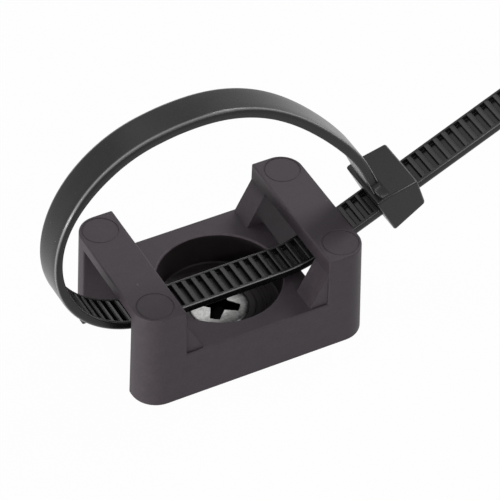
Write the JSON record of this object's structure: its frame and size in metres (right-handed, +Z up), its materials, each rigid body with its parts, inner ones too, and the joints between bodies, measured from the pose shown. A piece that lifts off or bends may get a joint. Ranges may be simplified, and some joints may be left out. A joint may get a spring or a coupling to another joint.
{
  "type": "cable tie mount",
  "caption": "Screw-down saddle mount of moulded nylon with a ladder cable tie threaded through its saddles and closed in a loose loop, and its countersunk screw.",
  "frame": {"origin": "the screw axis at the base plane, where the mount meets the panel and the screw enters it", "axes": "+X along the tie as it lies on the deck, towards the tie's head; +Y across the tie; +Z up out of the panel along the screw axis"},
  "size_m": [0.0603, 0.0162, 0.0367],
  "materials": {
    "mount_nylon": "fine-grained matt, moulded, dark warm grey",
    "tie_nylon": "satin, moulded, charcoal black",
    "screw_steel": "dull zinc-plated steel"
  },
  "bodies": {
    "root": {"saddle_mount": "mount_nylon", "cable_tie": "tie_nylon", "mounting_screw": "screw_steel"}
  },
  "joints": []
}
